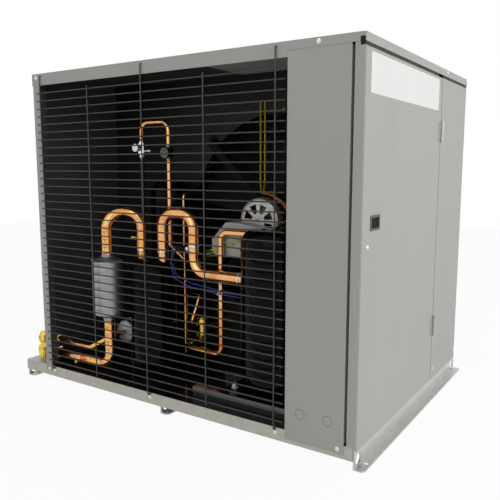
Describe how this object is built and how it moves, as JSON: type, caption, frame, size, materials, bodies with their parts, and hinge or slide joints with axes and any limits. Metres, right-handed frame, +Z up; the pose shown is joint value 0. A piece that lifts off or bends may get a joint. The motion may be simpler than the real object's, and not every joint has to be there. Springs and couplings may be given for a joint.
{
  "type": "refrigeration condensing unit",
  "caption": "Outdoor air-cooled condensing unit: grey cabinet with wire guard, hinged side door, compressor, vessels, copper pipework, condenser coil and fan.",
  "frame": {"origin": "centre of the rectangle of the outer rails' four anchor holes, on the ground", "axes": "+Z up, -Y out of the front where the wire guard is, +X towards the side with the door"},
  "size_m": [1.312, 0.941, 1.06],
  "materials": {
    "galvanised_steel": "galvanised sheet",
    "cabinet_paint": "satin warm grey baked paint",
    "dark_paint": "black painted sheet",
    "guard_wire": "dark coated wire",
    "zinc_screws": "zinc plated",
    "door_screw": "bright plated",
    "hinge_steel": "stainless",
    "latch_black": "black moulded",
    "motor_paint": "black motor body",
    "motor_steel": "laminated steel",
    "motor_copper": "wound copper",
    "cast_aluminium": "die cast",
    "plain_steel": "machined",
    "fan_aluminium": "rolled sheet",
    "fin_aluminium": "thin fins",
    "copper": "drawn copper tube",
    "black_enamel": "gloss black enamel",
    "rubber": "moulded",
    "cast_iron": "machined casting",
    "box_plastic": "light grey moulded",
    "filter_steel": "silver painted steel",
    "brass": "machined brass",
    "switch_black": "moulded",
    "device_plastic": "moulded",
    "lead_insulation": "coloured insulation"
  },
  "bodies": {
    "cabinet": {"base_pan": "galvanised_steel", "base_rails": "galvanised_steel", "left_side_panel": "cabinet_paint", "frame_posts": "cabinet_paint", "rear_side_panel": "cabinet_paint", "lid": "cabinet_paint", "fan_bulkhead": "dark_paint", "control_cover": "cabinet_paint", "control_box": "galvanised_steel", "wire_guard": "guard_wire", "cabinet_screws": "zinc_screws", "hinge_frame_leaves": "hinge_steel", "fan_motor": "motor_paint", "motor_windings": "motor_copper", "motor_end_bell": "cast_aluminium", "motor_mount": "dark_paint", "coil_fins": "fin_aluminium", "coil_tubes": "copper", "coil_end_plates": "galvanised_steel", "compressor_shell": "black_enamel", "compressor_grommets": "rubber", "compressor_bolts": "zinc_screws", "compressor_rails": "black_enamel", "compressor_stator": "motor_steel", "bearing_frames": "cast_iron", "fixed_scroll": "cast_iron", "terminal_box": "box_plastic", "suction_accumulator": "black_enamel", "accumulator_u_tube": "copper", "liquid_receiver": "black_enamel", "suction_filter": "filter_steel", "suction_pipes": "copper", "discharge_pipes": "copper", "liquid_pipes": "copper", "head_pressure_valve": "brass", "solenoid_valve": "brass", "sight_glass": "brass", "filter_drier": "filter_steel", "pressure_switch": "switch_black", "access_valves": "brass", "service_valve_bodies": "brass", "contactor": "device_plastic", "terminal_strip": "device_plastic", "pressure_control": "device_plastic", "wiring_leads": "lead_insulation"},
    "door": {"door": "cabinet_paint", "door_screw": "door_screw", "hinge_door_leaves": "hinge_steel", "latch_housing": "latch_black"},
    "paddle": {"latch_paddle": "latch_black"},
    "fan": {"fan_shaft": "plain_steel", "fan_blade": "fan_aluminium", "motor_rotor": "motor_steel"},
    "crank": {"compressor_crankshaft": "plain_steel"},
    "orbiter": {"orbiting_scroll": "cast_iron"},
    "suction_stem": {"suction_valve_stem": "plain_steel"},
    "liquid_stem": {"liquid_valve_stem": "plain_steel"},
    "suction_cap": {"suction_valve_cap": "brass"},
    "liquid_cap": {"liquid_valve_cap": "brass"},
    "plunger": {"contactor_carrier": "device_plastic"}
  },
  "joints": [
    {"name": "door_swing", "type": "hinge", "parent": "cabinet", "child": "door", "pos_m": [0.6365, 0.148, 0.865], "axis": [0, 0, 1], "range_deg": [0, 115]},
    {"name": "paddle_lift", "type": "hinge", "parent": "door", "child": "paddle", "pos_m": [0.624, -0.4075, 0.619], "axis": [0, 0, -1], "range_deg": [0, 35], "stiffness_Nm_per_rad": 0.05},
    {"name": "fan_spin", "type": "hinge", "parent": "cabinet", "child": "fan", "pos_m": [0.183, -0.056, 0.588], "axis": [0, 1, 0], "continuous": true},
    {"name": "crank_spin", "type": "hinge", "parent": "cabinet", "child": "crank", "pos_m": [0.319, -0.32, 0.426], "axis": [0, 0, 1], "continuous": true},
    {"name": "orbit_turn", "type": "hinge", "parent": "crank", "child": "orbiter", "pos_m": [0.3245, -0.32, 0.46], "axis": [0, 0, 1], "continuous": true},
    {"name": "suction_stem_turn", "type": "hinge", "parent": "cabinet", "child": "suction_stem", "pos_m": [-0.589, -0.449, 0.091], "axis": [0, -1, 0], "range_deg": [0, 90]},
    {"name": "liquid_stem_turn", "type": "hinge", "parent": "cabinet", "child": "liquid_stem", "pos_m": [-0.589, -0.449, 0.144], "axis": [0, -1, 0], "range_deg": [0, 90]},
    {"name": "suction_cap_off", "type": "slide", "parent": "cabinet", "child": "suction_cap", "axis": [0, -1, 0], "range_m": [0, 0.03]},
    {"name": "liquid_cap_off", "type": "slide", "parent": "cabinet", "child": "liquid_cap", "axis": [0, -1, 0], "range_m": [0, 0.03]},
    {"name": "contactor_pull", "type": "slide", "parent": "cabinet", "child": "plunger", "axis": [0, 1, 0], "range_m": [0, 0.0035], "stiffness_N_per_m": 400}
  ],
  "couplings": [
    {"joint": "orbit_turn", "follows": "crank_spin", "ratio": -1}
  ]
}
